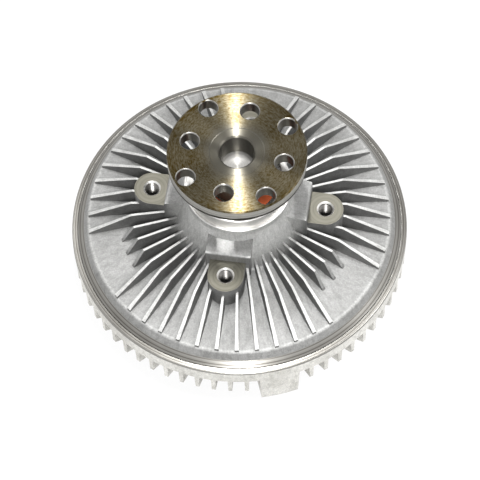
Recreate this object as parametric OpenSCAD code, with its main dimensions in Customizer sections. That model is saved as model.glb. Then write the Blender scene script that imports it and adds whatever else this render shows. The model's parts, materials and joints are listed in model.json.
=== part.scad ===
// Viscous fan clutch, lying on its front cover with the drive flange on top.
// Millimetres. The axis is Z, and Z = 0 is the plane that the front cover's fins rest on.

/* [Rim] */
// Outside diameter over the front cover's rim
rim_d = 190.5; // [184:0.5:206]
// Height of the rim's top edge above the resting plane
rim_h = 32; // [31:0.5:38]
// Height of the smooth band round the rim
rim_band_h = 10; // [8:0.5:12]
// Wall of the rim outside the rear housing's edge
rim_wall = 2.3; // [1.8:0.1:3]
// Width of the rim's edge that is rolled over the rear housing
roll_w = 3.5; // [3:0.1:4.5]
// Thickness of the rolled edge
roll_t = 1.8; // [1.2:0.1:2.4]
// Rise of the rolled edge from the rim to the seam
roll_rise = 0.8; // [0.2:0.1:1.5]

/* [Rear housing] */
// Width of the turned lip inside the seam
lip_w = 3.3; // [2.5:0.1:5]
// Rise of the turned lip towards the axis
lip_rise = 2.5; // [1.5:0.1:4]
// Width of the sloped step between lip and floor
step_w = 2.65; // [2:0.05:4]
// Height of the sloped step
step_h = 4.7; // [4:0.1:7]
// Slope of the finned floor in degrees
floor_slope = 8.8; // [5:0.1:11]
// Foot radius of the tower, where it meets the floor
tower_foot_r = 38.2; // [37:0.1:42]
// Height of the tower's shoulder above the rim's edge
shoulder_h = 44.4; // [42:0.2:48]
// Height of the tower's top above the rim's edge
tower_h = 52; // [50:0.2:56]
// Wall of the tower round the bearing
tower_wall = 3.8; // [3:0.1:5]
// Wall of the turned collar above the shoulder
collar_wall = 2.2; // [1.6:0.1:2.6]
// Width of the lip rolled over the bearing
bearing_lip_w = 1.4; // [1:0.1:1.8]
// Thickness of that lip
bearing_lip_t = 1.9; // [1.4:0.1:2.4]

/* [Rear fins] */
// Places for fins round the housing
fin_count = 48; // [36:12:60]
// Thickness of a fin along its top
fin_top_t = 1.3; // [1:0.1:1.8]
// Thickness of a fin at the floor
fin_root_t = 2.6; // [2:0.1:3]
// Height of the fins' flat tops above the rim's edge
fin_h = 23; // [20:0.2:26]
// Length over which the tops fall towards the rim
fin_fall = 24.8; // [20:0.2:30]
// Height that is left at a fin's outer end
fin_tip_h = 1.7; // [0.8:0.1:3]
// Plain patches in the fins
patch_count = 3; // [2:1:4]
// Short fins beside each plain patch
patch_fins = 3; // [1:2:5]
// How far the end of a short fin slopes out
short_fin_run = 7.5; // [4:0.5:12]

/* [Fan bosses] */
// Circle of the four fan bolts
fan_pcd = 98; // [94:0.5:104]
// Diameter of a fan bolt's hole
fan_hole_d = 8; // [6.5:0.1:9]
// Depth of a fan bolt's hole
fan_hole_depth = 17; // [12:0.5:18]
// Chamfer at the mouth of the hole
fan_hole_chamfer = 0.9; // [0.4:0.1:1.2]
// Radius of a boss
boss_r = 10; // [8.5:0.1:11]
// Height of the bosses above the rim's edge
boss_h = 28.3; // [26:0.1:31]
// Width of the web between boss and tower
web_w = 25; // [22:0.5:28]
// Radius of the web's outer face
web_r = 40; // [38:0.5:43]
// Height of the web above the rim's edge at the tower
web_h = 36.4; // [33:0.2:39]
// Fall of the web's top towards the boss
web_fall = 1.6; // [0.5:0.1:4]
// Rounding of the web's outer top edge
web_round = 1.5; // [0.5:0.1:2]

/* [Drive flange] */
// Diameter of the flange
flange_d = 76.2; // [75:0.2:86]
// Thickness of the flange
flange_t = 8.6; // [7:0.1:11]
// Height of the flange's face above the rim's edge
flange_h = 79.7; // [77:0.1:86]
// Chamfer on the flange's edges
flange_chamfer = 0.8; // [0.3:0.1:1.2]
// Holes on each bolt circle
bolt_count = 4; // [3:1:4]
// From the flange's edge to the centres of the outer bolt holes
bolt_inset_a = 6.35; // [6.2:0.05:7.5]
// From the flange's edge to the centres of the inner bolt holes
bolt_inset_b = 11.6; // [10:0.1:13]
// Diameter of the bolt holes
bolt_hole_d = 10; // [8:0.1:10.5]
// Chamfer at both ends of a bolt hole
bolt_chamfer = 0.6; // [0.2:0.1:0.7]
// Turn of the hub at rest
hub_turn = -7.1; // [-20:0.1:20]
// Diameter of the pilot bore
pilot_d = 19.05; // [16:0.05:20]
// Depth of the pilot bore
pilot_depth = 15.5; // [10:0.1:18]
// Chamfer at the pilot bore's mouth
pilot_chamfer = 0.9; // [0.3:0.1:1.5]
// Width of the turned recess round the pilot bore
face_recess_w = 5.275; // [3:0.025:6.5]
// Depth of that recess
face_recess_h = 0.35; // [0.2:0.05:0.8]
// Radius of the neck under the flange
neck_r = 15.5; // [15:0.1:16]

/* [Bearing] */
// Outside diameter of the bearing
bearing_od = 52; // [50:0.5:54]
// Bore of the bearing
bearing_id = 25; // [24:0.5:26]
// Width of the bearing
bearing_w = 20.6; // [20:0.1:23]
// Diameter of a ball
ball_d = 8.2; // [7.6:0.1:8.6]
// Balls in each row
ball_count = 10; // [8:1:11]
// Distance between the two rows
row_gap = 9.4; // [9.2:0.1:10]
// Thickness of the bearing's seals
seal_t = 0.9; // [0.6:0.1:1]
// Thickness of the snap ring
snap_t = 1.6; // [1.2:0.1:2]

/* [Clutch] */
// Drop from the rim's edge to the cover's working face
face_drop = 12; // [11:0.2:13]
// Rise of the joint between cover and housing above that face
joint_rise = 6; // [5:0.2:7]
// Wall between the working chamber and the rear housing's edge
chamber_wall = 11.9; // [10.5:0.1:13]
// Gap round the rotor's rim, where the wiper blocks sit
rotor_gap = 2.5; // [2:0.1:3.5]
// Thickness of the rotor's web
rotor_t = 3; // [2:0.1:3.4]
// Height of the ring-shaped lands
land_h = 5.3; // [4:0.1:5.6]
// Gap over the tip of a land
land_tip_gap = 0.7; // [0.5:0.05:1]
// Thickness of a land
land_t = 2; // [1.6:0.1:2.1]
// Pitch of the lands
land_pitch = 5; // [4.8:0.1:5.2]
// Lands on each side of the rotor
land_count = 6; // [3:1:6]
// From the rotor's rim to its outermost land
land_inset = 5.5; // [5:0.1:6.5]
// Diameter of the holes through the rotor's web
rotor_hole_d = 8; // [6:0.5:9]
// Section of the ring seal between cover and housing
cover_seal_d = 2.1; // [1.6:0.1:2.4]

/* [Front cover] */
// Thickness of the cover behind its working face
cover_t = 5.5; // [4.5:0.1:6.5]
// Places for fins round the cover
cover_fin_count = 64; // [48:4:72]
// Thickness of a cover fin at its tip
cover_fin_tip_t = 1.7; // [1.3:0.1:2]
// Thickness of a cover fin at its root
cover_fin_root_t = 2.8; // [2.4:0.1:3.2]
// Length over which the cover fins shorten towards the rim
cover_fin_fall = 15.05; // [10:0.05:18]
// Height of the fins' outer tips above the resting plane
cover_fin_tip_z = 10.2; // [6:0.2:14]
// Width of the rib over each return passage
rib_w = 22; // [18:0.5:24]
// Direction of the first rib
rib_turn = 292; // [0:1:359]
// Diameter of the return passage
return_d = 4.4; // [3:0.1:4.6]
// From the innermost land to the fluid reservoir's wall
reservoir_inset = 4; // [3.6:0.1:6]
// Depth of the reservoir below the working face
reservoir_depth = 8; // [7.4:0.1:8.4]
// Wall of the reservoir
reservoir_wall = 3.6; // [3:0.1:4.2]
// Thickness of the reservoir's plate
plate_t = 1.5; // [1:0.1:1.6]
// Diameter of the port in that plate
valve_port_d = 9; // [6:0.5:10]
// From the reservoir's wall to the port's centre
valve_port_inset = 10; // [8.5:0.5:12]

/* [Valve] */
// Diameter of the valve's shaft
valve_d = 8; // [7:0.1:9]
// Thickness of the valve arm
arm_t = 1; // [0.8:0.1:1.2]
// Thickness of the bimetal strip
strip_t = 0.9; // [0.6:0.05:1.1]
// Width of the bimetal strip
strip_w = 5.2; // [4.6:0.1:5.4]
// Turns of the bimetal coil
coil_turns = 3; // [2:1:4]
// Pitch of the coil
coil_pitch = 4.4; // [3.6:0.1:5]

/* [Fits] */
// Radial gap of a pressed piece
press_gap = 0.01; // [0.01:0.01:0.03]
// Radial gap of a running shaft
run_gap = 0.05; // [0.02:0.01:0.08]
// Gap between a ball and its races
ball_gap = 0.3; // [0.25:0.01:0.35]
// Gap between pieces that pass each other
side_gap = 0.3; // [0.25:0.05:0.5]
// Gap that shows as the seam beside the rolled edge
seam_gap = 0.2; // [0.1:0.05:0.3]

/* [Hidden] */
$fn = 96;
eps = 0.01;

// Radii of the rim, from the outside in
rim_r = rim_d / 2;
tooth_r = rim_r - 0.2;
edge_r = rim_r - rim_wall - run_gap;
seam_r = rim_r - roll_w;
step_r = seam_r - lip_w;
floor_r = step_r - step_w;

// Heights of the rim and the finned floor
seam_z = rim_h + roll_rise;
roll_z = seam_z - roll_t;
lip_z = seam_z + lip_rise;
floor_edge_z = lip_z + step_h;
function floor_z(r) = floor_edge_z + (floor_r - r) * tan(floor_slope);

// Working chamber, rotor and lands, from the rim in
chamber_r = edge_r - chamber_wall;
chamber_round = 1;
rotor_r = chamber_r - rotor_gap;
land_r = rotor_r - land_inset - (land_count - 1) * land_pitch;
face_z = rim_h - face_drop;
joint_z = face_z + joint_rise;
chamber_h = rotor_t + 2 * (land_h + land_tip_gap);
ceiling_z = face_z + chamber_h;
rotor_z = face_z + land_h + land_tip_gap;
seal_r = (chamber_r + edge_r) / 2;
seal_groove_d = cover_seal_d + 0.1;

// Bearing and tower
bearing_r = bearing_od / 2;
bore_r = bearing_r + press_gap;
seat_r = bearing_id / 2 - press_gap;
ball_path_r = (bearing_od + bearing_id) / 4;
inner_ring_r = ball_path_r - 0.37 * ball_d;
outer_ring_r = ball_path_r + 0.37 * ball_d;
tower_top_z = rim_h + tower_h;
shoulder_z = rim_h + shoulder_h;
bearing_top_z = tower_top_z - bearing_lip_t;
ledge_z = bearing_top_z - bearing_w;
row_z = [ledge_z + bearing_w / 2 + row_gap / 2, ledge_z + bearing_w / 2 - row_gap / 2];
tower_r = bore_r + tower_wall;
collar_r = bore_r + collar_wall;
core_r = bore_r - 2;

// Fins and bosses of the rear housing
fin_pitch = 360 / fin_count;
fin_top_z = rim_h + fin_h;
fin_end_r = floor_r - 0.5;
fin_flat_r = fin_end_r - fin_fall;
fin_in_r = tower_r + 2;
patch_pitch = 360 / patch_count;
boss_z = rim_h + boss_h;
web_z = rim_h + web_h;

// Hub
bolt_pitch = 360 / bolt_count;
bolt_pcd_a = flange_d - 2 * bolt_inset_a;
bolt_pcd_b = flange_d - 2 * bolt_inset_b;
flange_z = rim_h + flange_h;
flange_under_z = flange_z - flange_t;
rotor_seat_r = seat_r - 2.5;
rotor_hub_r = seat_r + 5;
rotor_hub_z = [rotor_z - 1.5, rotor_z + rotor_t + 4.5];

// Front cover and valve
cover_under_z = face_z - cover_t;
cover_fin_flat_r = tooth_r - cover_fin_fall;
reservoir_r = land_r - reservoir_inset;
valve_port_r = reservoir_r - valve_port_inset;
reservoir_z = face_z - reservoir_depth;
bowl_z = reservoir_z - reservoir_wall;
bowl_r = reservoir_r + reservoir_wall;
plate_r = reservoir_r + 1.75;
band_z = rim_h - rim_band_h;
return_z = face_z - 5.4;
port_d = return_d - 1.4;
port_r = chamber_r - chamber_round - 0.2 - port_d / 2;
valve_r = valve_d / 2;
arm_z = face_z - plate_t - side_gap - arm_t;
valve_seal_z = (bowl_z + arm_z) / 2;
valve_collar = [valve_r + 1.5, 0.7];
coil_top_z = bowl_z - side_gap - valve_collar[1] - 0.2;
coil_r = valve_r + 1.6;
coil_out_r = coil_r + coil_turns * coil_pitch;
post_r = coil_out_r + 3.2;
post_pin_r = 1.6;
post_pin_h = 2;

// Outlines are lists of corners [radius, height] or [radius, height, rounding].
function unit(v) = v / norm(v);
function flat(p) = [p[0], p[1]];
function rounded(a, b, c, r, n = 4) =
    let (u = unit(a - b), v = unit(c - b), half = acos(u * v) / 2)
    let (centre = b + unit(u + v) * r / sin(half), p = b + u * r / tan(half) - centre)
    let (q = b + v * r / tan(half) - centre, turn = (180 - 2 * half) * sign(cross(p, q)))
    [for (i = [0:n]) centre + [p[0] * cos(turn * i / n) - p[1] * sin(turn * i / n),
                               p[0] * sin(turn * i / n) + p[1] * cos(turn * i / n)]];
function corner(c, i) =
    let (n = len(c), before = c[(i + n - 1) % n], after = c[(i + 1) % n])
    len(c[i]) > 2 ? rounded(flat(before), flat(c[i]), flat(after), c[i][2]) : [c[i]];
function outline(c) = [for (i = [0:len(c) - 1]) each corner(c, i)];

module turned(corners) {
    rotate_extrude()
        polygon(outline(corners));
}

module ring(r_in, r_out, z_low, z_high) {
    turned([[r_in, z_low], [r_out, z_low], [r_out, z_high], [r_in, z_high]]);
}

module torus(r, z, section_r) {
    rotate_extrude()
        translate([r, z])
            circle(section_r);
}

// A bar along a radius whose section tapers from root to tip, as a mould's draft leaves it
module drafted_bar(angle, r_in, r_out, z_root, t_root, z_tip, t_tip) {
    rotate([0, 0, angle])
        translate([r_in, 0, 0])
            rotate([90, 0, 90])
                linear_extrude(r_out - r_in)
                    polygon([[-t_root / 2, z_root], [t_root / 2, z_root],
                             [t_tip / 2, z_tip], [-t_tip / 2, z_tip]]);
}

// A flat slab in the plane of one radius, from its side view
module slab(angle, width, side) {
    rotate([0, 0, angle])
        rotate([90, 0, 0])
            linear_extrude(width, center = true)
                polygon(side);
}

// Lands are thin rings, one pitch apart
module lands(first_r, z_low, z_high) {
    for (i = [0:land_count - 1])
        ring(first_r + i * land_pitch - land_t / 2, first_r + i * land_pitch + land_t / 2, z_low, z_high);
}

// Rear housing
function from_patch(a) = abs((a - 90 + 360 + patch_pitch / 2) % patch_pitch - patch_pitch / 2);
function is_short(a) = from_patch(a) < fin_pitch * patch_fins / 2;

module rear_fins(short, side) {
    intersection() {
        rotate_extrude()
            polygon(side);
        union()
            for (a = [0:fin_pitch:360 - fin_pitch])
                if (is_short(a) == short)
                    drafted_bar(a, fin_in_r - 1, rim_r, floor_edge_z - 4, fin_root_t,
                                fin_top_z + eps, fin_top_t);
    }
}

module housing_body() {
    turned([[0, joint_z], [0, tower_top_z], [collar_r, tower_top_z, 0.8], [collar_r, shoulder_z],
            [tower_r, shoulder_z, 0.6], [tower_r, shoulder_z - 4, 6],
            [tower_foot_r, floor_z(tower_foot_r), 3], [floor_r, floor_edge_z, 2.5], [step_r, lip_z, 0.8],
            [seam_r, seam_z], [seam_r, roll_z], [edge_r, roll_z], [edge_r, joint_z]]);
}

module fan_boss(angle) {
    slab(angle, web_w, outline([[0, floor_z(0) - 2], [web_r, floor_z(web_r) - 2],
                                [web_r, web_z - web_fall, web_round], [tower_r - 1, web_z], [0, web_z]]));
    rotate([0, 0, angle]) {
        translate([0, -boss_r, floor_z(fan_pcd / 2) - 2])
            cube([fan_pcd / 2, 2 * boss_r, boss_z - floor_z(fan_pcd / 2) + 2]);
        translate([fan_pcd / 2, 0, floor_z(fan_pcd / 2) - 2])
            cylinder(h = boss_z - floor_z(fan_pcd / 2) + 2, r = boss_r);
    }
}

module fan_bolt_hole(angle) {
    rotate([0, 0, angle])
        translate([fan_pcd / 2, 0, boss_z - fan_hole_depth]) {
            cylinder(h = fan_hole_depth + 1, d = fan_hole_d);
            translate([0, 0, fan_hole_depth - fan_hole_chamfer])
                cylinder(h = fan_hole_chamfer + eps, d1 = fan_hole_d,
                         d2 = fan_hole_d + 2 * fan_hole_chamfer + 2 * eps);
        }
}

module housing_hollow() {
    turned([[0, joint_z - 1], [chamber_r, joint_z - 1], [chamber_r, ceiling_z, chamber_round],
            [core_r, ceiling_z], [core_r, ledge_z], [bore_r, ledge_z], [bore_r, bearing_top_z],
            [bore_r - bearing_lip_w, bearing_top_z], [bore_r - bearing_lip_w, tower_top_z + 1],
            [0, tower_top_z + 1]]);
}

module rear_housing() {
    fin_floor = [[fin_in_r, floor_z(fin_in_r) - 2], [fin_end_r, floor_z(fin_end_r) - 2]];
    short_r = fin_flat_r + short_fin_run;
    color("#c9c9c6") {
        difference() {
            union() {
                housing_body();
                rear_fins(false, concat(fin_floor, [[fin_end_r, floor_z(fin_end_r) + fin_tip_h],
                                                    [fin_flat_r, fin_top_z], [fin_in_r, fin_top_z]]));
                rear_fins(true, [fin_floor[0], [short_r, floor_z(short_r) - 2], [short_r, floor_z(short_r)],
                                 [fin_flat_r, fin_top_z], [fin_in_r, fin_top_z]]);
                for (a = [0:90:270])
                    fan_boss(a);
            }
            housing_hollow();
            for (a = [0:90:270])
                fan_bolt_hole(a);
        }
        lands(land_r + land_pitch / 2, rotor_z + rotor_t + land_tip_gap, ceiling_z + eps);
    }
}

// Front cover
module cover_body() {
    turned([[0, bowl_z], [0, face_z], [chamber_r, face_z, chamber_round], [chamber_r, joint_z],
            [rim_r - rim_wall, joint_z], [rim_r - rim_wall, roll_z], [seam_r + seam_gap, roll_z],
            [seam_r + seam_gap, seam_z - 0.1, 0.3], [rim_r, rim_h, 1], [rim_r, band_z, 0.6],
            [rim_r - 3.2, band_z], [chamber_r + 5, cover_under_z, 2], [bowl_r + 1.5, cover_under_z, 1.5],
            [bowl_r, bowl_z, 1.5]]);
}

module cover_fins() {
    root_z = cover_under_z + 2.5;
    root = [[tooth_r, band_z + 2], [rim_r - 4, band_z + 2], [chamber_r + 5, root_z], [bowl_r + 1, root_z],
            [bowl_r - 2, bowl_z + 1]];
    pitch = 360 / cover_fin_count;
    taken = rib_w / 2 / tooth_r * 180 / PI + pitch * 0.4;
    intersection() {
        rotate_extrude()
            polygon(concat([[bowl_r + 2, 0], [cover_fin_flat_r, 0], [tooth_r, cover_fin_tip_z]], root));
        union()
            for (a = [0:pitch:360 - pitch])
                if (min(a % 180, 180 - a % 180) > taken)
                    drafted_bar(rib_turn + a, bowl_r - 3, rim_r, band_z + 3, cover_fin_root_t,
                                -eps, cover_fin_tip_t);
    }
    intersection() {
        rotate_extrude()
            polygon(concat([[bowl_r + 2, 0], [tooth_r, 0]], root));
        union()
            for (a = [0, 180])
                drafted_bar(rib_turn + a, bowl_r - 3, rim_r, band_z + 3, rib_w + 1, -eps, rib_w - 1);
    }
}

module return_passage(angle) {
    rotate([0, 0, angle]) {
        translate([reservoir_r - 3, 0, return_z])
            rotate([0, 90, 0])
                cylinder(h = port_r - reservoir_r + 3 + return_d / 4, d = return_d);
        translate([port_r, 0, return_z])
            cylinder(h = face_z - return_z + 1, d = port_d);
    }
}

module cover_hollow() {
    valve_boss_z = arm_z - side_gap;
    difference() {
        turned([[0, reservoir_z], [reservoir_r, reservoir_z, 1.5], [reservoir_r, face_z - plate_t],
                [plate_r, face_z - plate_t], [plate_r, face_z + 1], [0, face_z + 1]]);
        translate([0, 0, reservoir_z - 1])
            cylinder(h = valve_boss_z - reservoir_z + 1, r = valve_r + 4);
    }
    translate([0, 0, bowl_z - 1])
        cylinder(h = face_z - bowl_z + 1, r = valve_r + run_gap);
    ring(seal_r - seal_groove_d / 2 - 0.4, seal_r + seal_groove_d / 2 + 0.4,
         joint_z - seal_groove_d, joint_z + 1);
    translate([post_r, 0, bowl_z - 1])
        cylinder(h = 1 + post_pin_h + 0.2, r = post_pin_r + press_gap);
    for (a = [0, 180])
        return_passage(rib_turn + a);
}

module front_cover() {
    color("#dcdbd3") {
        difference() {
            union() {
                cover_body();
                cover_fins();
            }
            cover_hollow();
        }
        lands(land_r + land_pitch / 2, face_z - eps, rotor_z - land_tip_gap);
    }
}

module cover_seal() {
    color("#1c1c1c")
        torus(seal_r, joint_z - seal_groove_d / 2, cover_seal_d / 2);
}

// Blocks in the gap round the rotor that push fluid into the return passages
module wiper_block() {
    r_in = rotor_r + 2 * side_gap;
    r_out = chamber_r - run_gap;
    bevel = chamber_round + 0.1;
    color("#b8a98a")
        for (a = [0, 180])
            rotate([0, 0, rib_turn + a + 2.2])
                rotate_extrude(angle = 9)
                    polygon([[r_in, face_z], [r_out - bevel, face_z], [r_out, face_z + bevel],
                             [r_out, ceiling_z - bevel - side_gap], [r_in, ceiling_z - bevel - side_gap]]);
}

module reservoir_plate() {
    color("#8d8f92")
        translate([0, 0, face_z - plate_t])
            difference() {
                cylinder(h = plate_t, r = plate_r - press_gap);
                rotate([0, 0, rib_turn + 90])
                    translate([valve_port_r, 0, -1])
                        cylinder(h = plate_t + 2, d = valve_port_d);
            }
}

// Drive hub: flange, neck and shaft in one piece
module flange_hole(angle, pcd) {
    rotate([0, 0, angle])
        translate([pcd / 2, 0, flange_under_z]) {
            translate([0, 0, -1])
                cylinder(h = flange_t + 2, d = bolt_hole_d);
            translate([0, 0, -eps])
                cylinder(h = bolt_chamfer, d1 = bolt_hole_d + 2 * bolt_chamfer, d2 = bolt_hole_d);
            translate([0, 0, flange_t - bolt_chamfer + eps])
                cylinder(h = bolt_chamfer, d1 = bolt_hole_d, d2 = bolt_hole_d + 2 * bolt_chamfer);
        }
}

module drive_hub() {
    pilot_r = pilot_d / 2;
    face_z = flange_z - face_recess_h;
    recess_r = pilot_r + face_recess_w;
    snap_z = ledge_z - press_gap;
    flange_r = flange_d / 2;
    c = flange_chamfer;
    color("#8a7a4c")
        difference() {
            turned([[0, rotor_hub_z[0] - 0.6], [0, flange_z - pilot_depth],
                    [pilot_r, flange_z - pilot_depth],
                    [pilot_r, face_z - pilot_chamfer], [pilot_r + pilot_chamfer, face_z],
                    [recess_r, face_z], [recess_r + face_recess_h, flange_z],
                    [flange_r - c, flange_z], [flange_r, flange_z - c], [flange_r, flange_under_z + c],
                    [flange_r - c, flange_under_z], [neck_r, flange_under_z, 3], [neck_r, bearing_top_z],
                    [seat_r, bearing_top_z], [seat_r, snap_z], [seat_r - 1.2, snap_z],
                    [seat_r - 1.2, snap_z - snap_t - 0.1], [seat_r, snap_z - snap_t - 0.1],
                    [seat_r, rotor_hub_z[1]], [rotor_seat_r, rotor_hub_z[1]],
                    [rotor_seat_r, rotor_hub_z[0] - 0.6]]);
            for (i = [0:bolt_count - 1]) {
                flange_hole(hub_turn + (i + 0.5) * bolt_pitch, bolt_pcd_a);
                flange_hole(hub_turn + i * bolt_pitch, bolt_pcd_b);
            }
        }
}

// Two-row ball bearing
module race_grooves() {
    for (z = row_z)
        torus(ball_path_r, z, ball_d / 2 + ball_gap);
}

module bearing_inner_ring() {
    color("#a9abad")
        difference() {
            ring(bearing_id / 2, inner_ring_r, ledge_z, bearing_top_z);
            race_grooves();
        }
}

module bearing_outer_ring() {
    color("#a9abad")
        difference() {
            ring(outer_ring_r, bearing_r, ledge_z, bearing_top_z);
            race_grooves();
        }
}

// The second row stands half a pitch round from the first
module ball_row(row, r) {
    for (i = [0:ball_count - 1])
        rotate([0, 0, (i + row / 2) * 360 / ball_count])
            translate([ball_path_r, 0, row_z[row]])
                sphere(r);
}

module bearing_balls_rear() {
    color("#cfd2d4")
        ball_row(0, ball_d / 2);
}

module bearing_balls_front() {
    color("#cfd2d4")
        ball_row(1, ball_d / 2);
}

module ball_cage() {
    cage_w = [inner_ring_r + 1.1, outer_ring_r - 1.1];
    color("#8c6b3a")
        difference() {
            ring(cage_w[0], cage_w[1], row_z[1] - 1.6, row_z[0] + 1.6);
            ball_row(0, ball_d / 2 + 0.2);
            ball_row(1, ball_d / 2 + 0.2);
        }
}

module bearing_seal(z) {
    turned([[inner_ring_r + run_gap, z], [outer_ring_r - press_gap, z],
            [outer_ring_r - press_gap, z + seal_t],
            [inner_ring_r + 1.2, z + seal_t], [inner_ring_r + run_gap, z + seal_t * 0.6]]);
}

module bearing_seal_rear() {
    color("#c8482a")
        bearing_seal(bearing_top_z - seal_t - 0.1);
}

module bearing_seal_front() {
    color("#c8482a")
        bearing_seal(ledge_z + 0.1);
}

module shaft_snap_ring() {
    color("#4a4a4c")
        rotate([0, 0, 20])
            rotate_extrude(angle = 320)
                translate([seat_r - 1.1, ledge_z - snap_t - 0.05])
                    square([inner_ring_r - seat_r, snap_t]);
}

module rotor() {
    hub_r = rotor_hub_r;
    hole_r = (rotor_hub_r + land_r) / 2;
    color("#bfc1c0") {
        difference() {
            turned([[rotor_seat_r + press_gap, rotor_hub_z[0]], [hub_r, rotor_hub_z[0]], [hub_r, rotor_z, 1],
                    [rotor_r, rotor_z, 0.5], [rotor_r, rotor_z + rotor_t, 0.5], [hub_r, rotor_z + rotor_t, 1],
                    [hub_r, rotor_hub_z[1], 0.6], [rotor_seat_r + press_gap, rotor_hub_z[1]]]);
            for (a = [0:60:300])
                rotate([0, 0, a])
                    translate([hole_r, 0, rotor_z - 1])
                        cylinder(h = rotor_t + 2, d = rotor_hole_d);
        }
        lands(land_r, rotor_z + rotor_t - eps, ceiling_z - land_tip_gap);
        lands(land_r, face_z + land_tip_gap, rotor_z + eps);
    }
}

// Valve that opens the reservoir's port as the bimetal coil warms
module valve_shaft() {
    slot_z = coil_top_z - strip_w;
    color("#b5b7b8")
        difference() {
            union() {
                translate([0, 0, slot_z])
                    cylinder(h = arm_z - slot_z, r = valve_r);
                translate([0, 0, arm_z - eps])
                    cylinder(h = arm_t + eps, r = valve_r - 1);
                translate([0, 0, bowl_z - side_gap - valve_collar[1]])
                    cylinder(h = valve_collar[1], r = valve_collar[0]);
            }
            ring(valve_r - 1.1, valve_r + 1, valve_seal_z - 0.7, valve_seal_z + 0.7);
            translate([-valve_r - 1, -strip_t / 2 - 0.1, slot_z - 1])
                cube([2 * valve_r + 2, strip_t + 0.2, strip_w + 1.1]);
        }
}

module valve_shaft_seal() {
    color("#1c1c1c")
        torus(valve_r - 0.52, valve_seal_z, 0.54);
}

module valve_arm() {
    tip_r = valve_port_d / 2 + 2;
    color("#9a9c9e")
        translate([0, 0, arm_z])
            rotate([0, 0, rib_turn + 90])
                linear_extrude(arm_t)
                    difference() {
                        union() {
                            circle(valve_r + 4);
                            translate([valve_port_r, 0])
                                circle(tip_r);
                            polygon([[0, -valve_r - 3], [valve_port_r, -tip_r + 0.5],
                                     [valve_port_r, tip_r - 0.5], [0, valve_r + 3]]);
                        }
                        circle(valve_r - 1 + press_gap);
                    }
}

// Spiral strip: its inner end sits in the shaft's slot and its outer end in the bracket
function coil_point(a, side) = (coil_r + coil_pitch * a / 360 + side * strip_t / 2) * [cos(a), sin(a)];

module bimetal_coil() {
    steps = [0:12:360 * coil_turns];
    back_steps = [360 * coil_turns:-12:0];
    color("#a08a5c")
        translate([0, 0, coil_top_z - strip_w])
            linear_extrude(strip_w) {
                polygon(concat([for (a = steps) coil_point(a, 1)],
                               [for (a = back_steps) coil_point(a, -1)]));
                translate([-valve_r + 1, -strip_t / 2])
                    square([coil_r + valve_r - 1, strip_t]);
                translate([coil_out_r - strip_t / 2, -strip_t / 2])
                    square([4.2, strip_t]);
            }
}

module coil_bracket() {
    post_z = coil_top_z - strip_w - 0.3;
    color("#8d8f92")
        difference() {
            union() {
                translate([post_r - 2.2, -2.8, post_z])
                    cube([4.4, 5.6, bowl_z - post_z]);
                translate([post_r, 0, bowl_z - eps])
                    cylinder(h = post_pin_h + eps, r = post_pin_r);
            }
            translate([post_r - 3, -strip_t / 2 - 0.1, post_z - 1])
                cube([4, strip_t + 0.2, strip_w + 1.6]);
        }
}

rear_housing();
front_cover();
cover_seal();
wiper_block();
reservoir_plate();
drive_hub();
bearing_inner_ring();
bearing_outer_ring();
bearing_balls_rear();
bearing_balls_front();
ball_cage();
bearing_seal_rear();
bearing_seal_front();
shaft_snap_ring();
rotor();
valve_shaft();
valve_arm();
valve_shaft_seal();
bimetal_coil();
coil_bracket();
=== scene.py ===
"""Finish, light and camera for the viscous fan clutch."""
import json
import math

import bpy
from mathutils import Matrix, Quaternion, Vector

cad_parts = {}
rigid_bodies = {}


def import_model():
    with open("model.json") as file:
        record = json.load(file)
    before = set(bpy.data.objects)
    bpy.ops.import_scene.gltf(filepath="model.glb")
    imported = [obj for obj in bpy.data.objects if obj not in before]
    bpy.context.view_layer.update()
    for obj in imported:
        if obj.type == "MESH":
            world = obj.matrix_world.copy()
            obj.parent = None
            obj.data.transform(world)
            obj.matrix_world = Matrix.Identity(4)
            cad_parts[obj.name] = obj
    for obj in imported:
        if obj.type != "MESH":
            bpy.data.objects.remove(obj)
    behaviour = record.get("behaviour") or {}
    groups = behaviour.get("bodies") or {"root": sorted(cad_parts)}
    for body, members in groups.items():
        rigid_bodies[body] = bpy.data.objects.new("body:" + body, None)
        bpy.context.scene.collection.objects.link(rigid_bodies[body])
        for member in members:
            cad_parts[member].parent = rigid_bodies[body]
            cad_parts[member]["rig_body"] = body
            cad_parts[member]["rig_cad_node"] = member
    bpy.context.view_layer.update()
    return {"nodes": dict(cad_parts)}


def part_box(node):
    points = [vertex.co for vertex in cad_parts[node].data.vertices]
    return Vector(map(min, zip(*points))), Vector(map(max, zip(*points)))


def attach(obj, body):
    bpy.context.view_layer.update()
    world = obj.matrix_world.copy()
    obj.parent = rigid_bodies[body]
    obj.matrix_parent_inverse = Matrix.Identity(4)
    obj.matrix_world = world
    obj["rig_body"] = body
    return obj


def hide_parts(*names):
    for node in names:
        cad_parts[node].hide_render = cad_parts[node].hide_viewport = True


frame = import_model()
nodes = frame["nodes"]

# ---------------------------------------------------------------- sizes, in metres
# Rear housing: sloping floor between the fins, lip at its edge, tower and its collar
FLOOR_R = 0.0858
FLOOR_EDGE_Z = 0.04
FLOOR_SLOPE = math.tan(math.radians(8.8))
LIP_R = 0.0881
TOWER_R = 0.036
COLLAR_R = 0.0302
SHOULDER_Z = 0.0764
# Its webs and fan bosses, and the ring lands on its inner face
WEB_R = 0.0402
PAD_Z = 0.0603
PAD_REACH = 0.049
PAD_IN_R = 0.0385
FAN_HOLE_R = 0.004
LANDS_IN_R = 0.038
LANDS_OUT_R = 0.082
LANDS_TOP_Z = 0.0355
# Front cover: the turned part of its rim
RIM_IN_R = 0.0885
RIM_LOW_Z = 0.0305
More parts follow.
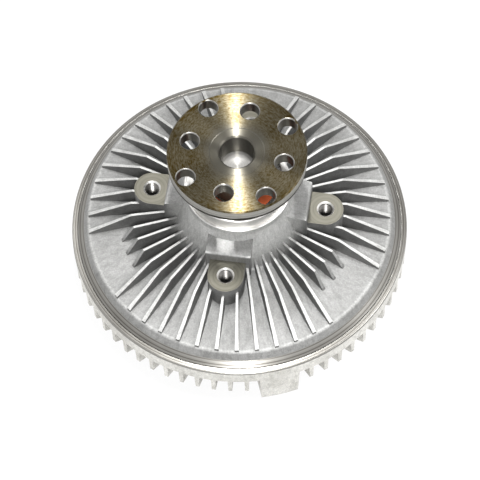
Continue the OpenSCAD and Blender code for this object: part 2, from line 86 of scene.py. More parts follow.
# Drive hub: the level on its neck where the flange's finishes start, flange, recess and bore
FLANGE_UNDER_Z = 0.095
FLANGE_FACE_Z = 0.1117
FLANGE_R = 0.0381
FLANGE_T = 0.0086
FLANGE_CHAMFER = 0.0012
RECESS_R = 0.0149
BORE_R = 0.0108
# Threads of the fan bosses; their roots stand a little inside the wall of the hole
THREAD_PITCH = 0.00125
THREAD_DEPTH = 0.00068
THREAD_ROOT_R = FAN_HOLE_R + 0.00005
THREAD_START_Z = 0.0449
THREAD_TURNS = 11
THREAD_STEPS = 28
# Bimetal coil: strip from the bracket inwards in half turns, and its straight end in the shaft
COIL_IN_R = 0.0056
COIL_OUT_R = 0.0188
COIL_TAB_R = 0.02255
COIL_PITCH = 0.0044
COIL_HALF_TURNS = 6
COIL_LAST_HALF = 1.05
COIL_STEPS = 18
STRIP_T = 0.0009
INNER_END_X = -0.003
# Rounding of edges
CASTING_EDGE = 0.0003
HUB_EDGE = 0.0002
STRIP_EDGE = 0.00012

# The Z of a face's normal: below UPRIGHT it stands, above LEVEL it lies flat
UPRIGHT = 0.3
LEVEL = 0.97

# ---------------------------------------------------------------- view and light
# The photograph's view: what the camera looks at, from where, and how the picture is framed
TARGET = Vector((0, 0, 0.032))
VIEW_AZIMUTH = 10.1
VIEW_ELEVATION = 61.03
VIEW_DISTANCE = 1.3656
VIEW_ROLL = -1.98
PICTURE_SHIFT = (0.0013, -0.0353)
LENS = 180.0
SENSOR_WIDTH = 36.0

# Each lamp's name, place, width and length, and watts
LAMP_TARGET = (0, 0, 0.05)
LAMPS = (
    ("top_strip", (-0.025, 0.14, 1.3), (0.03, 0.5), 18.0),
    ("front_flash", (0.165, -0.95, 1.17), (0.2, 0.3), 17.0),
    ("left_panel", (-0.95, 0.45, 1.0), (0.6, 0.6), 3.5),
    ("right_panel", (0.9, 0.1, 1.1), (0.6, 0.6), 10.5),
)
WORLD_GREY = 0.9
WORLD_STRENGTH = 0.45
FLOOR_GREY = 0.86
FLOOR_WHITE_SHARE = 0.88
FLOOR_SIZE = 6.0
FLOOR_Z = -0.0004


def deselect_all():
    if bpy.context.mode != "OBJECT":
        bpy.ops.object.mode_set(mode="OBJECT")
    bpy.ops.object.select_all(action="DESELECT")


# ---------------------------------------------------------------- node helpers
def connect(tree, socket, value):
    """Gives a socket a plain value, or links another node's socket to it."""
    if isinstance(value, bpy.types.NodeSocket):
        tree.links.new(value, socket)
    else:
        socket.default_value = value


def put(tree, kind, inputs=None, **settings):
    """Adds a node; inputs maps a socket's name or number to a value or another node's socket."""
    made = tree.nodes.new(kind)
    for name, value in settings.items():
        setattr(made, name, value)
    for key, value in (inputs or {}).items():
        connect(tree, made.inputs[key], value)
    return made


def math_of(tree, operation, a, b=0.0, c=0.0):
    return put(tree, "ShaderNodeMath", {0: a, 1: b, 2: c}, operation=operation).outputs[0]


def vector_of(tree, operation, *values):
    made = put(tree, "ShaderNodeVectorMath", dict(enumerate(values)), operation=operation)
    return made.outputs["Value" if operation == "LENGTH" else "Vector"]


def join_xyz(tree, x=0.0, y=0.0, z=0.0):
    return put(tree, "ShaderNodeCombineXYZ", {0: x, 1: y, 2: z}).outputs[0]


def step_between(tree, value, low, high, out_low=0.0, out_high=1.0):
    """Goes smoothly from out_low to out_high while value goes from low to high."""
    made = put(tree, "ShaderNodeMapRange", {0: value, 1: low, 2: high, 3: out_low, 4: out_high},
               interpolation_type="SMOOTHSTEP")
    return made.outputs[0]


def mix_colours(tree, share, a, b, blend="MIX"):
    made = put(tree, "ShaderNodeMix", {0: share, 6: a, 7: b},
               data_type="RGBA", blend_type=blend, clamp_factor=True)
    return made.outputs[2]


def tone(tree, base, mask, share, times):
    """Multiplies a colour by another one, by that share where the mask is 1."""
    toned = mix_colours(tree, 1.0, base, times, "MULTIPLY")
    return mix_colours(tree, math_of(tree, "MULTIPLY", mask, share), base, toned)


def noise_at(tree, place, scale, detail=3.0, rough=0.55, stretch=(1, 1, 1)):
    mapped = put(tree, "ShaderNodeMapping", {"Vector": place, "Scale": stretch}).outputs[0]
    made = put(tree, "ShaderNodeTexNoise",
               {"Vector": mapped, "Scale": scale, "Detail": detail, "Roughness": rough})
    return made.outputs[0]


def object_place(tree):
    return put(tree, "ShaderNodeTexCoord").outputs["Object"]


def outward_from_axis(tree, place):
    """Unit vector that points away from the clutch's axis."""
    return vector_of(tree, "NORMALIZE", vector_of(tree, "MULTIPLY", place, (1, 1, 0)))


def split_place(tree):
    """The place on the object, its X, Y and Z, and its distance from the clutch's axis."""
    place = object_place(tree)
    parts = put(tree, "ShaderNodeSeparateXYZ", {0: place}).outputs
    return place, parts, vector_of(tree, "LENGTH", join_xyz(tree, parts[0], parts[1]))


def grey(value, tint=(1.0, 1.0, 1.0)):
    return (value * tint[0], value * tint[1], value * tint[2], 1.0)


def new_group(name, inputs, outputs):
    tree = bpy.data.node_groups.new(name, "ShaderNodeTree")
    for socket, default in inputs:
        made = tree.interface.new_socket(socket, in_out="INPUT", socket_type="NodeSocketFloat")
        made.default_value = default
    for socket in outputs:
        tree.interface.new_socket(socket, in_out="OUTPUT", socket_type="NodeSocketFloat")
    return tree, tree.nodes.new("NodeGroupInput"), tree.nodes.new("NodeGroupOutput")


def use_group(tree, group, **values):
    made = tree.nodes.new("ShaderNodeGroup")
    made.node_tree = group
    for name, value in values.items():
        connect(tree, made.inputs[name], value)
    return made.outputs


# ---------------------------------------------------------------- shared effects
def make_cast_skin():
    """Skin of a die casting: fine grain, slow blotches, and flow marks that run outwards."""
    tree, given, out = new_group("cast_skin", [("Grain size", 0.0009)],
                                 ["Height", "Grain", "Blotch", "Flow"])
    place = object_place(tree)
    fine = math_of(tree, "DIVIDE", 1.0, given.outputs["Grain size"])
    grain = noise_at(tree, place, fine, 4.0, 0.65)
    blotch = noise_at(tree, place, 42.0, 4.0, 0.6)
    bent = vector_of(tree, "MULTIPLY_ADD", place, (9, 9, 9), outward_from_axis(tree, place))
    flow = noise_at(tree, bent, 22.0, 4.0, 0.65)
    height = math_of(tree, "MULTIPLY_ADD", flow, 0.5, math_of(tree, "MULTIPLY", grain, 0.6))
    tree.links.new(height, out.inputs["Height"])
    tree.links.new(grain, out.inputs["Grain"])
    tree.links.new(blotch, out.inputs["Blotch"])
    tree.links.new(flow, out.inputs["Flow"])
    return tree


def make_turned_rings():
    """Tool marks of a lathe: rings round an axis, given the distance from it."""
    tree, given, out = new_group("turned_rings", [("Radius", 0.0), ("Pitch", 0.0004)],
                                 ["Height", "Band"])
    turns = math_of(tree, "DIVIDE", given.outputs["Radius"], given.outputs["Pitch"])
    slow = math_of(tree, "MULTIPLY", turns, 0.11)
    lines = put(tree, "ShaderNodeTexNoise", {"Vector": join_xyz(tree, turns), "Scale": 1.0,
                                             "Detail": 2.0, "Roughness": 0.7})
    bands = put(tree, "ShaderNodeTexNoise", {"Vector": join_xyz(tree, slow), "Scale": 1.0,
                                             "Detail": 2.0, "Roughness": 0.6})
    tree.links.new(lines.outputs[0], out.inputs["Height"])
    tree.links.new(bands.outputs[0], out.inputs["Band"])
    return tree


cast_skin = make_cast_skin()
turned_rings = make_turned_rings()


# ---------------------------------------------------------------- materials
def new_material(name, roughness=0.5, metallic=1.0, **constants):
    material = bpy.data.materials.new(name)
    material.use_nodes = True
    tree = material.node_tree
    shader = tree.nodes["Principled BSDF"]
    shader.inputs["Roughness"].default_value = roughness
    shader.inputs["Metallic"].default_value = metallic
    for socket, value in constants.items():
        shader.inputs[socket.replace("_", " ")].default_value = value
    return material, tree, shader


def set_bump(tree, shader, height, distance, strength):
    bump = put(tree, "ShaderNodeBump",
               {"Height": height, "Distance": distance, "Strength": strength})
    tree.links.new(bump.outputs[0], shader.inputs["Normal"])


def facing_up(tree):
    """1 where the true surface looks up, 0 where it stands upright or looks down."""
    normal = put(tree, "ShaderNodeNewGeometry").outputs["True Normal"]
    z = put(tree, "ShaderNodeSeparateXYZ", {0: normal}).outputs[2]
    return step_between(tree, z, 0.25, 0.85)


def make_cast_aluminium(name, tint, open_grey, painted_shade_wall_grey, painted_light_tower_grey, painted_highlight_top_grey, painted_shade_step_grey):
    """Bright die-cast aluminium; open_grey is the tone of open faces. The other greys paint light
    and shade by how a face stands: painted shade on the walls between the fins and on the step round
    the floor, a lighter painted tone on the tower's walls, and a painted highlight on the fins'
    tops."""
    material, tree, shader = new_material(name, 0.5, 0.65)
    skin = use_group(tree, cast_skin)
    _, parts, radius = split_place(tree)
    # Painted shade by how a face stands: the upright walls between the fins and on the step take
    # darker tones than open faces, and the tower's walls take a lighter painted tone.
    outside = step_between(tree, radius, TOWER_R, TOWER_R + 0.006)
    wall = mix_colours(tree, outside, grey(painted_light_tower_grey, tint), grey(painted_shade_wall_grey, tint))
    at_step = step_between(tree, radius, FLOOR_R - 0.0004, FLOOR_R + 0.0002)
    wall = mix_colours(tree, at_step, wall, grey(painted_shade_step_grey, tint))

    # Painted highlight: faces standing proud of the floor, such as the fins' tops, and a band along
    # the floor's rounded outer edge take a lighter tone.
    floor_z = math_of(tree, "MULTIPLY_ADD", radius, -FLOOR_SLOPE,
                      FLOOR_EDGE_Z + FLOOR_R * FLOOR_SLOPE)
    painted_highlight_mask = step_between(tree, math_of(tree, "SUBTRACT", parts[2], floor_z), 0.0006, 0.002)
    painted_highlight_mask = math_of(tree, "MULTIPLY", painted_highlight_mask, step_between(tree, radius, WEB_R, WEB_R + 0.001))
    painted_floor_edge_highlight = step_between(tree, radius, FLOOR_R - 0.002, FLOOR_R - 0.0006, 0.0, 0.45)
    painted_highlight_mask = math_of(tree, "MAXIMUM", painted_highlight_mask, painted_floor_edge_highlight)
    face = mix_colours(tree, painted_highlight_mask, grey(open_grey, tint), grey(painted_highlight_top_grey, tint))
    # Upright faces get the painted wall tones; faces that look up get the open tone or the painted
    # highlight.
    base = mix_colours(tree, facing_up(tree), wall, face)

    base = tone(tree, base, step_between(tree, skin["Flow"], 0.4, 0.72), 0.5, grey(0.55, tint))
    base = tone(tree, base, step_between(tree, skin["Blotch"], 0.3, 0.7), 0.5, grey(0.6, tint))
    base = tone(tree, base, step_between(tree, skin["Grain"], 0.35, 0.75), 0.8, grey(1.5, tint))
    tree.links.new(base, shader.inputs["Base Color"])
    rough = math_of(tree, "MULTIPLY_ADD", skin["Grain"], 0.24, 0.32)
    rough = math_of(tree, "MULTIPLY_ADD", outside, 0.18, rough)
    tree.links.new(rough, shader.inputs["Roughness"])
    depth = math_of(tree, "MULTIPLY_ADD", outside, 0.65, 0.35)
    set_bump(tree, shader, math_of(tree, "MULTIPLY", skin["Height"], depth), 0.0003, 0.9)
    return material


def distance_from_boss(tree, parts):
    """Distance from the axis of the nearest fan boss."""
    x = math_of(tree, "ABSOLUTE", parts[0])
    y = math_of(tree, "ABSOLUTE", parts[1])
    along = math_of(tree, "SUBTRACT", math_of(tree, "MAXIMUM", x, y), PAD_REACH)
    return vector_of(tree, "LENGTH", join_xyz(tree, along, math_of(tree, "MINIMUM", x, y)))


def film_flecks(tree, place, radius, mottle):
    """Flecks of a worn film, drawn out along the lathe marks: a share from -mottle to mottle."""
    rows = join_xyz(tree, z=math_of(tree, "DIVIDE", radius, 0.0008))
    drawn = vector_of(tree, "MULTIPLY_ADD", outward_from_axis(tree, place), (16, 16, 16), rows)
    return step_between(tree, noise_at(tree, drawn, 1.0, 4.0, 0.7), 0.35, 0.65, -mottle, mottle)


def make_turned_metal(name, light, dark, roughness, pitch, anisotropy,
                      pads=False, bare=None, lines=0.3, mottle=0.0):
    """Metal with lathe marks round the clutch's axis, or round each fan boss when pads is true.

    bare is the colour round the bore, where the film is rubbed off; lines is the share of the
    fine marks in the colour, and mottle that of flecks in the film.
    """
    material, tree, shader = new_material(name, roughness, 1.0, Anisotropic=anisotropy,
                                          Anisotropic_Rotation=0.25)
    place, parts, radius = split_place(tree)
    if pads:
        radius = distance_from_boss(tree, parts)
    else:
        tangent = put(tree, "ShaderNodeTangent", direction_type="RADIAL", axis="Z")
        tree.links.new(tangent.outputs[0], shader.inputs["Tangent"])
    rings = use_group(tree, turned_rings, Radius=radius, Pitch=pitch)
    band = step_between(tree, rings["Band"], 0.3, 0.7)
    stain = step_between(tree, noise_at(tree, place, 28.0, 4.0, 0.6), 0.35, 0.7)
    line = step_between(tree, rings["Height"], 0.46, 0.62)
    share = math_of(tree, "MULTIPLY_ADD", stain, 0.7 - lines, math_of(tree, "MULTIPLY", band, 0.3))
    share = math_of(tree, "MULTIPLY_ADD", line, lines, share)
    if mottle:
        share = math_of(tree, "ADD", share, film_flecks(tree, place, radius, mottle))
    base = mix_colours(tree, share, light, dark)
    if bare:
        rubbed = math_of(tree, "MULTIPLY_ADD", stain, 0.004, radius)
        film = step_between(tree, rubbed, RECESS_R - 0.002, RECESS_R + 0.008)
        base = mix_colours(tree, film, bare, base)
    tree.links.new(base, shader.inputs["Base Color"])
    rough = math_of(tree, "MULTIPLY_ADD", rings["Band"], 0.08, roughness - 0.04)
    tree.links.new(rough, shader.inputs["Roughness"])
    set_bump(tree, shader, rings["Height"], 0.00003, 0.5)
    return material


def make_flange_edge():
    """The flange's turned edge: bright, with a painted shadow, a dark brown band, along its lower
    corner.
    """
    material, tree, shader = new_material("turned_flange_edge", 0.34, 1.0, Anisotropic=0.4,
                                          Anisotropic_Rotation=0.25)
    place, parts, _ = split_place(tree)
    rings = use_group(tree, turned_rings, Radius=parts[2], Pitch=0.0007)
    # Painted shadow: the edge is dark brown below a wobbly line just above its lower corner.
    stain = step_between(tree, noise_at(tree, place, 90.0, 4.0, 0.6), 0.35, 0.7)
    height = math_of(tree, "MULTIPLY_ADD", stain, 0.0006, parts[2])
    corner_z = FLANGE_FACE_Z - FLANGE_T
    above_painted_shadow = step_between(tree, height, corner_z + 0.0022, corner_z + 0.0034)
    line = step_between(tree, rings["Height"], 0.4, 0.65)
    turned = mix_colours(tree, line, (0.54, 0.53, 0.5, 1), (0.28, 0.272, 0.252, 1))
    base = mix_colours(tree, above_painted_shadow, (0.022, 0.018, 0.013, 1), turned)
    tree.links.new(base, shader.inputs["Base Color"])
    rough = math_of(tree, "MULTIPLY_ADD", rings["Band"], 0.1, 0.3)
    tree.links.new(rough, shader.inputs["Roughness"])
    set_bump(tree, shader, rings["Height"], 0.00003, 0.5)
    return material


def make_plain_metal(name, colour, roughness, grain):
    """Small metal pieces: fine brushed grain and a faint stain."""
    material, tree, shader = new_material(name, roughness, 1.0)
    place = object_place(tree)
    stain = step_between(tree, noise_at(tree, place, 120.0, 3.0), 0.35, 0.7)
    scratch = noise_at(tree, place, grain, 3.0, 0.6, (1, 1, 6))
    darker = tuple(c * 0.7 for c in colour[:3]) + (1.0,)
    base = mix_colours(tree, math_of(tree, "MULTIPLY", stain, 0.6), colour, darker)
    tree.links.new(base, shader.inputs["Base Color"])
    rough = math_of(tree, "MULTIPLY_ADD", scratch, 0.2, roughness - 0.1)
    tree.links.new(rough, shader.inputs["Roughness"])
    set_bump(tree, shader, scratch, 0.00002, 0.5)
    return material


def make_rubber(name, colour, roughness):
    """Moulded rubber: fine matt grain with worn, paler patches."""
    material, tree, shader = new_material(name, roughness, 0.0, IOR=1.5)
    place = object_place(tree)
    grain = noise_at(tree, place, 1800.0, 3.0)
    patch = step_between(tree, noise_at(tree, place, 160.0, 3.0), 0.35, 0.7)
    paler = tuple(min(1.0, c * 1.25 + 0.015) for c in colour[:3]) + (1.0,)
    tree.links.new(mix_colours(tree, patch, colour, paler), shader.inputs["Base Color"])
    rough = math_of(tree, "MULTIPLY_ADD", grain, 0.2, roughness - 0.1)
    tree.links.new(rough, shader.inputs["Roughness"])
    set_bump(tree, shader, grain, 0.00004, 0.5)
    return material


# The housing's wall, step and tower greys are painted shade and light, and its top grey is a painted
# highlight; the cover's greys are all one tone.
housing_skin = make_cast_aluminium("housing_cast_skin", (1.0, 1.0, 0.985), open_grey=0.23,
                                   painted_shade_wall_grey=0.16, painted_light_tower_grey=0.44, painted_highlight_top_grey=0.43, painted_shade_step_grey=0.21)
cover_skin = make_cast_aluminium("cover_cast_skin", (1.0, 0.99, 0.955), open_grey=0.58,
                                 painted_shade_wall_grey=0.58, painted_light_tower_grey=0.58, painted_highlight_top_grey=0.58, painted_shade_step_grey=0.58)
turned_rim = make_turned_metal("turned_aluminium", (0.32, 0.312, 0.292, 1), (0.055, 0.049, 0.04, 1),
                               roughness=0.31, pitch=0.0009, anisotropy=0.5, lines=0.55)
faced_pad = make_turned_metal("faced_boss_pad", (0.135, 0.13, 0.108, 1), (0.052, 0.049, 0.039, 1),
                              roughness=0.45, pitch=0.0008, anisotropy=0.0, pads=True)
turned_collar = make_turned_metal("turned_collar", (0.74, 0.73, 0.71, 1), (0.46, 0.45, 0.43, 1),
                                  roughness=0.36, pitch=0.0005, anisotropy=0.3)
rotor_alu = make_turned_metal("turned_rotor", (0.72, 0.72, 0.71, 1), (0.55, 0.55, 0.54, 1),
                              roughness=0.35, pitch=0.0005, anisotropy=0.4)
hub_steel = make_turned_metal("passivated_steel", (0.108, 0.096, 0.067, 1), (0.043, 0.028, 0.005, 1),
                              roughness=0.31, pitch=0.0007, anisotropy=1.0,
                              bare=(0.11, 0.104, 0.086, 1), mottle=0.42)
bright_steel = make_turned_metal("bright_turned_steel", (0.34, 0.333, 0.32, 1),
                                 (0.17, 0.167, 0.156, 1),
                                 roughness=0.34, pitch=0.0007, anisotropy=0.4)
bare_steel = make_turned_metal("bare_turned_steel", (0.14, 0.134, 0.114, 1), (0.07, 0.065, 0.054, 1),
                               roughness=0.32, pitch=0.0006, anisotropy=0.9)
flange_edge = make_flange_edge()
tapped_hole = make_plain_metal("tapped_hole", (0.2, 0.194, 0.184, 1), 0.3, 900.0)
bearing_steel = make_plain_metal("ground_bearing_steel", (0.62, 0.63, 0.64, 1), 0.28, 900.0)
ball_steel = make_plain_metal("polished_ball_steel", (0.75, 0.76, 0.77, 1), 0.15, 1500.0)
cage_brass = make_plain_metal("machined_cage_brass", (0.55, 0.42, 0.22, 1), 0.35, 900.0)
spring_steel = make_plain_metal("oiled_spring_steel", (0.28, 0.28, 0.29, 1), 0.38, 900.0)
plated_steel = make_plain_metal("zinc_plated_steel", (0.55, 0.56, 0.57, 1), 0.36, 700.0)
bimetal_strip = make_plain_metal("rolled_bimetal", (0.58, 0.47, 0.28, 1), 0.34, 800.0)
seal_red = make_rubber("orange_seal_rubber", (0.62, 0.12, 0.035, 1), 0.6)
seal_black = make_rubber("black_seal_rubber", (0.025, 0.025, 0.025, 1), 0.6)
wiper_polymer = make_rubber("wiper_polymer", (0.6, 0.5, 0.36, 1), 0.55)

NODE_FINISH = {
    "rear_housing": housing_skin, "front_cover": cover_skin, "drive_hub": hub_steel,
    "cover_seal": seal_black, "wiper_block": wiper_polymer, "reservoir_plate": plated_steel,
    "bearing_inner_ring": bearing_steel, "bearing_outer_ring": bearing_steel,
    "bearing_balls_rear": ball_steel, "bearing_balls_front": ball_steel, "ball_cage": cage_brass,
    "bearing_seal_rear": seal_red, "bearing_seal_front": seal_red, "shaft_snap_ring": spring_steel,
    "rotor": rotor_alu, "valve_shaft": plated_steel, "valve_arm": plated_steel,
    "valve_shaft_seal": seal_black, "bimetal_coil": bimetal_strip, "coil_bracket": plated_steel,
}


def dress_cad_nodes():
    for name, material in NODE_FINISH.items():
        for slot in nodes[name].material_slots:
            slot.material = material


# ---------------------------------------------------------------- castings and hub, edges rounded
def round_edges(node_name, piece_name, width, finishes):
    """Copies a CAD node, merges its triangles and rounds its edges; finishes[0] covers it all."""
    deselect_all()
    nodes[node_name].select_set(True)
    bpy.context.view_layer.objects.active = nodes[node_name]
    bpy.ops.object.duplicate()
    piece = bpy.context.active_object
    bpy.ops.object.parent_clear(type="CLEAR_KEEP_TRANSFORM")
    piece.name = piece_name
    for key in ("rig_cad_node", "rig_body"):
        del piece[key]
    bpy.ops.object.mode_set(mode="EDIT")
    bpy.ops.mesh.select_all(action="SELECT")
    bpy.ops.mesh.remove_doubles(threshold=2e-6)
    bpy.ops.mesh.customdata_custom_splitnormals_clear()
    bpy.ops.mesh.dissolve_limited(angle_limit=math.radians(0.6), use_dissolve_boundaries=False)
    bpy.ops.object.mode_set(mode="OBJECT")
    edge = piece.modifiers.new("rounded_edges", "BEVEL")
    edge.width, edge.segments = width, 2
    edge.limit_method, edge.angle_limit = "ANGLE", math.radians(28)
    edge.miter_outer = "MITER_ARC"
    bpy.ops.object.modifier_apply(modifier=edge.name)
    bpy.ops.object.shade_smooth_by_angle(angle=math.radians(40))
    flat = piece.modifiers.new("flat_faces", "WEIGHTED_NORMAL")
    flat.keep_sharp, flat.weight = True, 90
    bpy.ops.object.modifier_apply(modifier=flat.name)
    piece.data.materials.clear()
    for material in finishes:
        piece.data.materials.append(material)
    return piece


def finish_faces(piece, index, belongs):
    """Gives the finish of that number to the faces that belong to it, judged by the radius of
    their centre, the radius they reach out to, their centre and their normal."""
    corners = piece.data.vertices
    for face in piece.data.polygons:
        reach = max(math.hypot(corners[i].co.x, corners[i].co.y) for i in face.vertices)
        if belongs(math.hypot(face.center.x, face.center.y), reach, face.center, face.normal):
            face.material_index = index


def in_fan_hole(c):
    far, near = max(abs(c.x), abs(c.y)), min(abs(c.x), abs(c.y))
    return math.hypot(far - PAD_REACH, near) < FAN_HOLE_R + 0.001 and c.z < PAD_Z - 0.0001


def dress_housing():
    """Cast skin, with turned rim and lands, faced pads, tapped holes, bright collar and chamfers."""
    piece = round_edges("rear_housing", "rear_housing_casting", CASTING_EDGE,
                        [housing_skin, turned_rim, faced_pad, tapped_hole, turned_collar])
    rim, pad, hole, bright = 1, 2, 3, 4
    finish_faces(piece, rim, lambda r, reach, c, n: r > LIP_R)
    finish_faces(piece, bright,
                 lambda r, reach, c, n: reach < COLLAR_R and c.z > SHOULDER_Z - 0.001)
    finish_faces(piece, pad,
                 lambda r, reach, c, n: abs(c.z - PAD_Z) < 0.0011 and r > PAD_IN_R and n.z > 0.5)
    finish_faces(piece, hole, lambda r, reach, c, n: in_fan_hole(c))
    finish_faces(piece, bright,
                 lambda r, reach, c, n: in_fan_hole(c) and n.z > UPRIGHT and c.z > PAD_Z - 0.0015)
    finish_faces(piece, rim,
                 lambda r, reach, c, n: LANDS_IN_R < r < LANDS_OUT_R and c.z < LANDS_TOP_Z)
    return piece


def dress_cover():
    """Cast skin, with a turned rim."""
    piece = round_edges("front_cover", "front_cover_casting", CASTING_EDGE,
                        [cover_skin, turned_rim])
    finish_faces(piece, 1, lambda r, reach, c, n: r > RIM_IN_R and c.z > RIM_LOW_Z)
    return piece


def dress_hub():
    """Film on the flange's face and outer chamfer; its holes, bore and edge are bare steel."""
    piece = round_edges("drive_hub", "drive_hub_turned", HUB_EDGE,
                        [hub_steel, bare_steel, bright_steel, flange_edge])
    bare, bright, edge = 1, 2, 3
    chamfer_r = FLANGE_R - FLANGE_CHAMFER
    finish_faces(piece, bare,
                 lambda r, reach, c, n: c.z > FLANGE_UNDER_Z
                 and (reach < BORE_R or abs(n.z) < LEVEL) and (r < chamfer_r or n.z < UPRIGHT))
    finish_faces(piece, bright,
                 lambda r, reach, c, n: reach < BORE_R and n.z > 0.4 and c.z < FLANGE_FACE_Z - 0.003)
    finish_faces(piece, bright,
                 lambda r, reach, c, n: c.z > FLANGE_FACE_Z - 0.002 and UPRIGHT < n.z < LEVEL
                 and RECESS_R + 0.003 < r < chamfer_r)
    # The edge's finish carries a painted shadow along its lower corner.
    finish_faces(piece, edge,
                 lambda r, reach, c, n: r > chamfer_r and c.z > FLANGE_UNDER_Z and n.z < UPRIGHT)
    return piece


def dress_castings():
    housing, cover, hub = dress_housing(), dress_cover(), dress_hub()
    for piece, node, body, slot in ((housing, "rear_housing", "housing", "cast_aluminium"),
                                    (cover, "front_cover", "housing", "cover_aluminium"),
                                    (hub, "drive_hub", "hub", "passivated_steel")):
        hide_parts(node)
        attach(piece, body)


# ---------------------------------------------------------------- threads of the fan bosses
def cut_fan_threads():
    """The 8 mm threads in the four fan bosses: one ridge wound round its hole, then copied."""
    deselect_all()
    corner = THREAD_PITCH * 0.875 / math.sqrt(3)
    bpy.ops.mesh.primitive_circle_add(vertices=3, radius=corner,
                                      location=(THREAD_ROOT_R - corner / 2, 0, THREAD_START_Z),
                                      rotation=(math.pi / 2, -math.pi / 2, 0))
    thread = bpy.context.active_object
    thread.name = "fan_boss_threads"
    bpy.ops.object.transform_apply(location=True, rotation=True, scale=True)
    bpy.ops.object.mode_set(mode="EDIT")
    bpy.ops.mesh.select_all(action="SELECT")
    bpy.ops.transform.resize(value=(THREAD_DEPTH / (corner * 1.5), 1, 1),
                             center_override=(THREAD_ROOT_R, 0, THREAD_START_Z))
    bpy.ops.object.mode_set(mode="OBJECT")
    wound = thread.modifiers.new("wound", "SCREW")
    wound.axis, wound.angle, wound.screw_offset = "Z", 2 * math.pi, THREAD_PITCH
    wound.steps, wound.render_steps, wound.iterations = THREAD_STEPS, THREAD_STEPS, THREAD_TURNS
    bpy.ops.object.modifier_apply(modifier=wound.name)
    bpy.ops.object.mode_set(mode="EDIT")
    bpy.ops.mesh.select_all(action="SELECT")
    bpy.ops.mesh.remove_doubles(threshold=1e-6)
    bpy.ops.mesh.fill_holes(sides=3)
    bpy.ops.mesh.normals_make_consistent(inside=False)
    bpy.ops.transform.translate(value=(PAD_REACH, 0, 0))
    for boss in range(3):
        bpy.ops.mesh.duplicate()
        bpy.ops.transform.rotate(value=math.pi / 2, orient_axis="Z", center_override=(0, 0, 0))
    bpy.ops.object.mode_set(mode="OBJECT")
    bpy.ops.object.shade_smooth_by_angle(angle=math.radians(30))
    thread.data.materials.append(tapped_hole)
    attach(thread, "housing")


# ---------------------------------------------------------------- bimetal coil
def standing_strip(name, inner_x, outer_x):
    """A flat upright strip along X, as high as the coil."""
    low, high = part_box("bimetal_coil")
    deselect_all()
    bpy.ops.mesh.primitive_plane_add(
        size=1.0, location=((inner_x + outer_x) / 2, 0, (low[2] + high[2]) / 2),
        rotation=(math.pi / 2, 0, 0))
    strip = bpy.context.active_object
    strip.name = name
    strip.scale = (outer_x - inner_x, high[2] - low[2], 1.0)
    bpy.ops.object.transform_apply(location=True, rotation=True, scale=True)
    return strip


def thicken_strip(strip, thickness, body):
    """Gives the strip its thickness and rounded edges, and hangs it on a body."""
    deselect_all()
    strip.select_set(True)
    bpy.context.view_layer.objects.active = strip
    wall = strip.modifiers.new("thickness", "SOLIDIFY")
    wall.thickness, wall.offset, wall.use_even_offset = thickness, 0.0, True
    bpy.ops.object.modifier_apply(modifier=wall.name)
    edge = strip.modifiers.new("rolled_edges", "BEVEL")
    edge.width, edge.segments = STRIP_EDGE, 2
    edge.limit_method, edge.angle_limit = "ANGLE", math.radians(40)
    bpy.ops.object.modifier_apply(modifier=edge.name)
    bpy.ops.object.mode_set(mode="EDIT")
    bpy.ops.mesh.select_all(action="SELECT")
    bpy.ops.mesh.normals_make_consistent(inside=False)
    bpy.ops.object.mode_set(mode="OBJECT")
    bpy.ops.object.shade_smooth_by_angle(angle=math.radians(35))
    strip.data.materials.append(bimetal_strip)
    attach(strip, body)


def wind_bimetal_coil():
    """The coil, wound inwards from the bracket in half turns round two centres in turn; its
    straight inner end turns with the shaft, so it is a piece of its own."""
    coil = standing_strip("bimetal_coil_strip", COIL_OUT_R, COIL_TAB_R)
    bpy.ops.object.mode_set(mode="EDIT")
    bpy.ops.mesh.select_mode(type="VERT")
    bpy.ops.mesh.select_all(action="DESELECT")
    bpy.ops.object.mode_set(mode="OBJECT")
    for corner in coil.data.vertices:
        corner.select = corner.co.x < (COIL_OUT_R + COIL_TAB_R) / 2
    bpy.ops.object.mode_set(mode="EDIT")
    for half in range(COIL_HALF_TURNS):
        last = half == COIL_HALF_TURNS - 1
        side = 1 if half % 2 == 0 else -1
        bpy.ops.mesh.spin(steps=COIL_STEPS, angle=math.pi * (COIL_LAST_HALF if last else 1.0),
                          axis=(0, 0, 1), center=(side * COIL_PITCH / 4, 0, 0))
    bpy.ops.mesh.select_all(action="SELECT")
    bpy.ops.mesh.remove_doubles(threshold=1e-6)
    bpy.ops.mesh.normals_make_consistent(inside=False)
    bpy.ops.object.mode_set(mode="OBJECT")
    thicken_strip(coil, STRIP_T, "housing")
    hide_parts("bimetal_coil")
    inner_end = standing_strip("bimetal_coil_inner_end", INNER_END_X,
                               COIL_IN_R - STRIP_T / 2 + 0.00015)
    thicken_strip(inner_end, STRIP_T - 0.00004, "valve")


# ---------------------------------------------------------------- stage
def white_rays(tree):
    """1 for rays that look straight at the backdrop, from the camera or off metal."""
    path = put(tree, "ShaderNodeLightPath").outputs
    seen = math_of(tree, "MAXIMUM", path["Is Camera Ray"], path["Is Glossy Ray"])
    return math_of(tree, "MAXIMUM", seen, path["Is Transmission Ray"])


def make_world():
    world = bpy.data.worlds.new("studio")
    bpy.context.scene.world = world
    world.use_nodes = True
    tree = world.node_tree
    tree.nodes.clear()
    soft = put(tree, "ShaderNodeBackground",
               {"Color": grey(WORLD_GREY), "Strength": WORLD_STRENGTH}).outputs[0]
    white = put(tree, "ShaderNodeBackground", {"Color": grey(1.0), "Strength": 1.0}).outputs[0]
    mixed = put(tree, "ShaderNodeMixShader", {0: white_rays(tree), 1: soft, 2: white}).outputs[0]
    put(tree, "ShaderNodeOutputWorld", {"Surface": mixed})


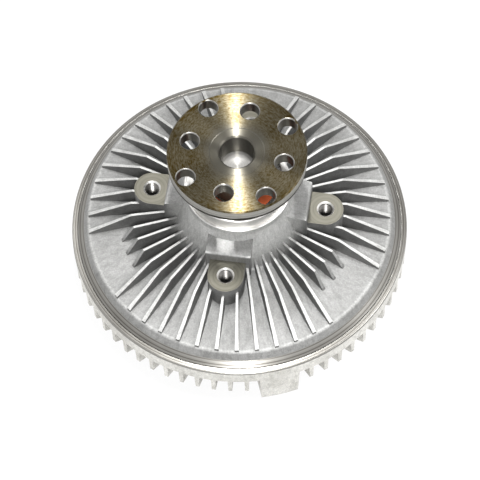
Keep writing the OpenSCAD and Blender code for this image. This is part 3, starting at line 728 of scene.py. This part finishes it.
def make_floor():
    deselect_all()
    bpy.ops.mesh.primitive_plane_add(size=FLOOR_SIZE, location=(0, 0, FLOOR_Z))
    floor = bpy.context.active_object
    floor.name = "studio_floor"
    material, tree, shader = new_material("pale_floor", 0.9, 0.0)
    shader.inputs["Base Color"].default_value = grey(FLOOR_GREY)
    white = put(tree, "ShaderNodeEmission", {"Color": grey(1.0), "Strength": 1.0}).outputs[0]
    share = math_of(tree, "MULTIPLY", white_rays(tree), FLOOR_WHITE_SHARE)
    mixed = put(tree, "ShaderNodeMixShader", {0: share, 1: shader.outputs[0], 2: white}).outputs[0]
    tree.links.new(mixed, tree.nodes["Material Output"].inputs["Surface"])
    floor.data.materials.append(material)


def make_lamp(name, place, size, power):
    deselect_all()
    bpy.ops.object.light_add(type="AREA", location=place)
    lamp = bpy.context.active_object
    lamp.name = name
    lamp.data.shape = "RECTANGLE"
    lamp.data.size, lamp.data.size_y = size
    lamp.data.energy = power
    lamp.rotation_mode = "QUATERNION"
    lamp.rotation_quaternion = (Vector(LAMP_TARGET) - lamp.location).to_track_quat("-Z", "Y")


def make_camera():
    deselect_all()
    azimuth, elevation = math.radians(VIEW_AZIMUTH), math.radians(VIEW_ELEVATION)
    back = Vector((math.sin(azimuth) * math.cos(elevation),
                   -math.cos(azimuth) * math.cos(elevation), math.sin(elevation)))
    bpy.ops.object.camera_add(location=TARGET + back * VIEW_DISTANCE)
    camera = bpy.context.active_object
    camera.name = "photo_camera"
    camera.data.lens = LENS
    camera.data.sensor_width = SENSOR_WIDTH
    camera.data.shift_x, camera.data.shift_y = PICTURE_SHIFT
    camera.rotation_mode = "QUATERNION"
    roll = Quaternion((0, 0, 1), math.radians(VIEW_ROLL))
    camera.rotation_quaternion = (-back).to_track_quat("-Z", "Y") @ roll
    bpy.context.scene.camera = camera


dress_cad_nodes()
dress_castings()
cut_fan_threads()
wind_bimetal_coil()
make_world()
make_floor()
for name, place, size, power in LAMPS:
    make_lamp(name, place, size, power)
make_camera()
bpy.context.scene.view_settings.view_transform = "Standard"
